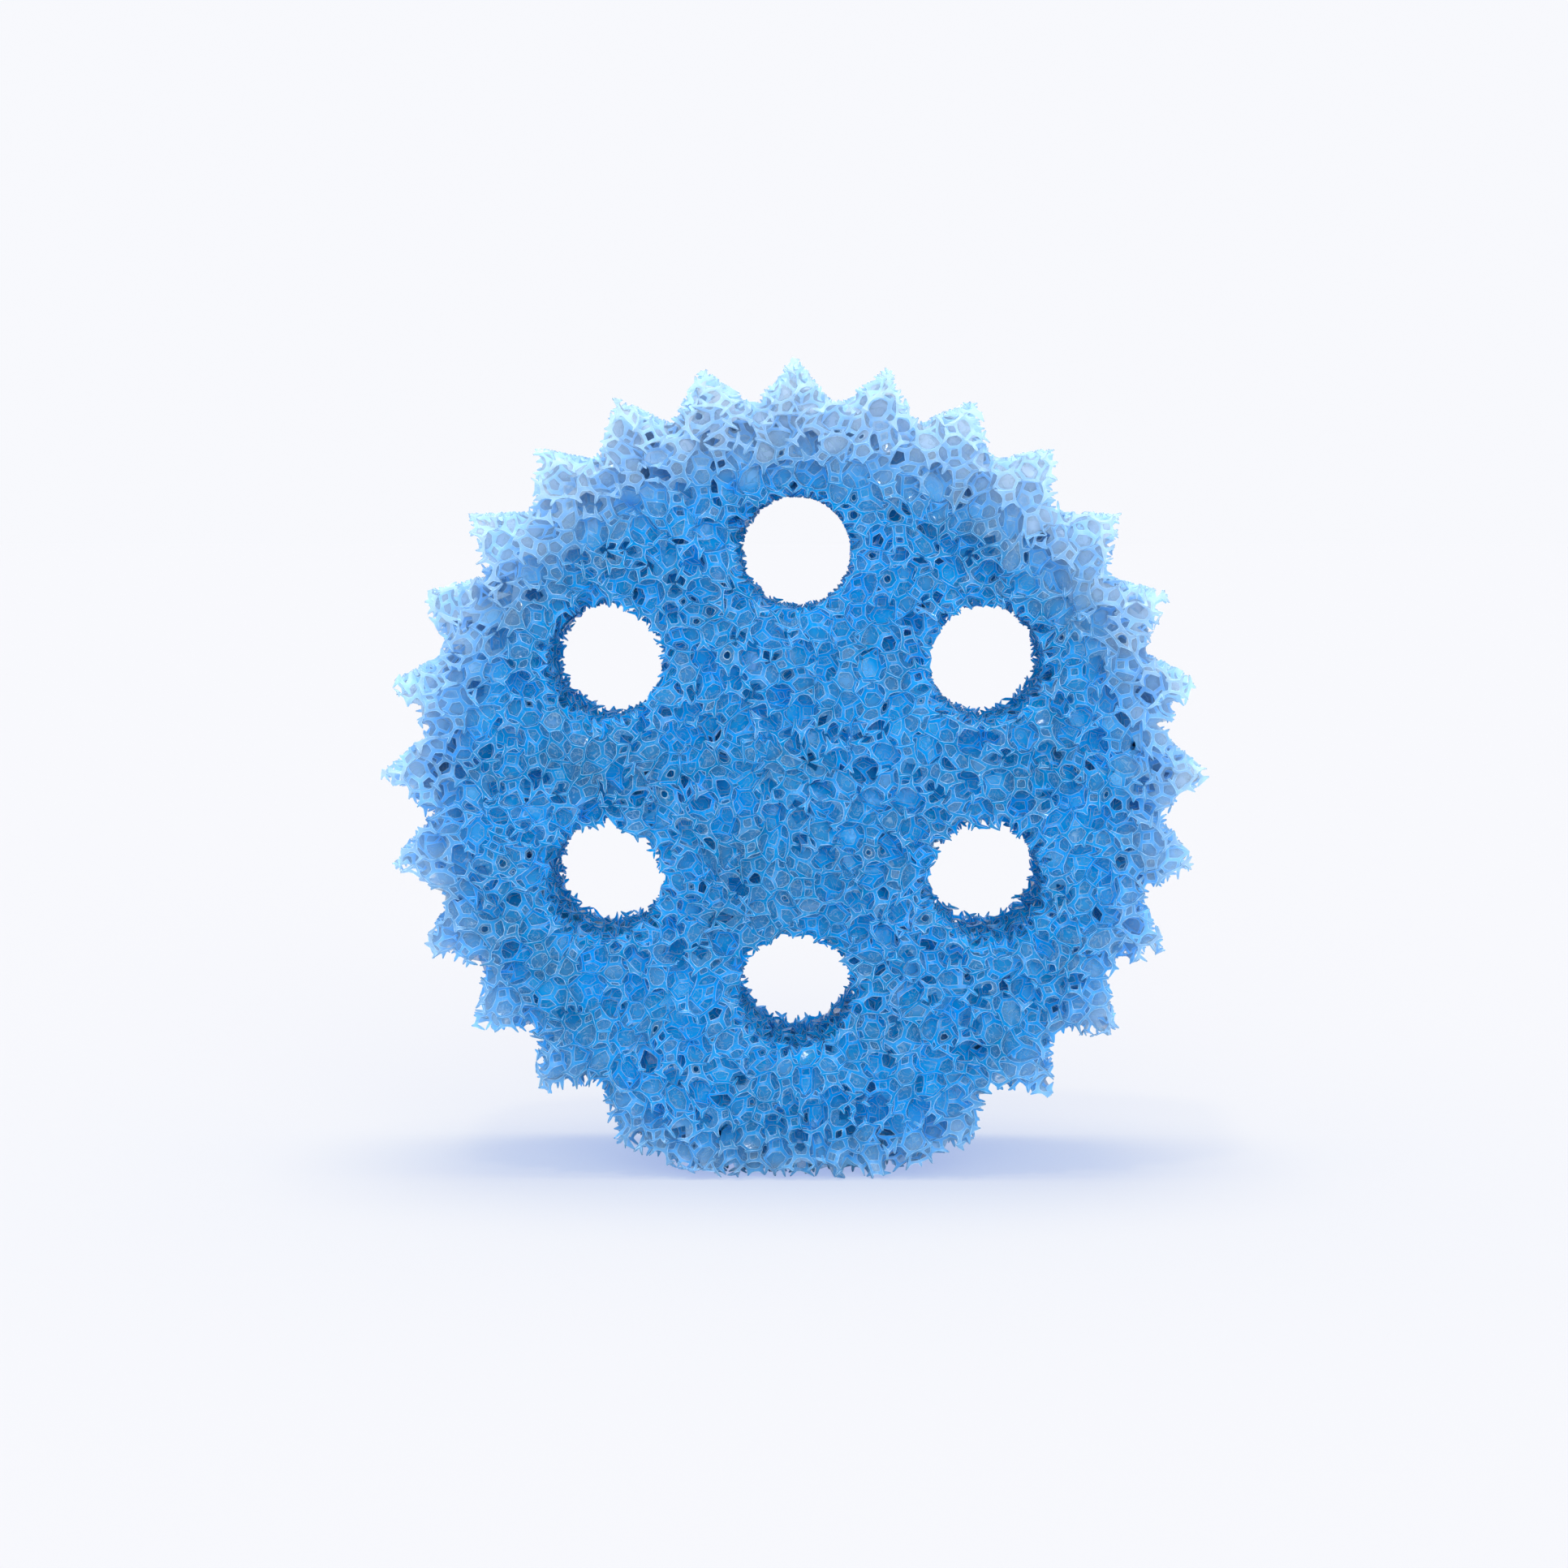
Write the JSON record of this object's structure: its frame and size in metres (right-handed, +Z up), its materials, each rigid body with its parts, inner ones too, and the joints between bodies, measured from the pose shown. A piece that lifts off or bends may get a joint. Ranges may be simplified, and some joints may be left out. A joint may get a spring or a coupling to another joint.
{
  "type": "cleaning sponge",
  "caption": "Round open-cell foam scouring sponge with a toothed rim, a plain foot and a ring of through finger holes.",
  "frame": {"origin": "middle of the small flat at the foot, on the ground, half way through the thickness", "axes": "+Z up through the disc's centre, Y along the disc's own axis through its thickness with the front face towards -Y, X across the faces"},
  "size_m": [0.105, 0.038, 0.104],
  "materials": {
    "foam": "open-cell polyurethane foam with glossy blue strands"
  },
  "bodies": {
    "root": {"sponge": "foam"}
  },
  "joints": []
}
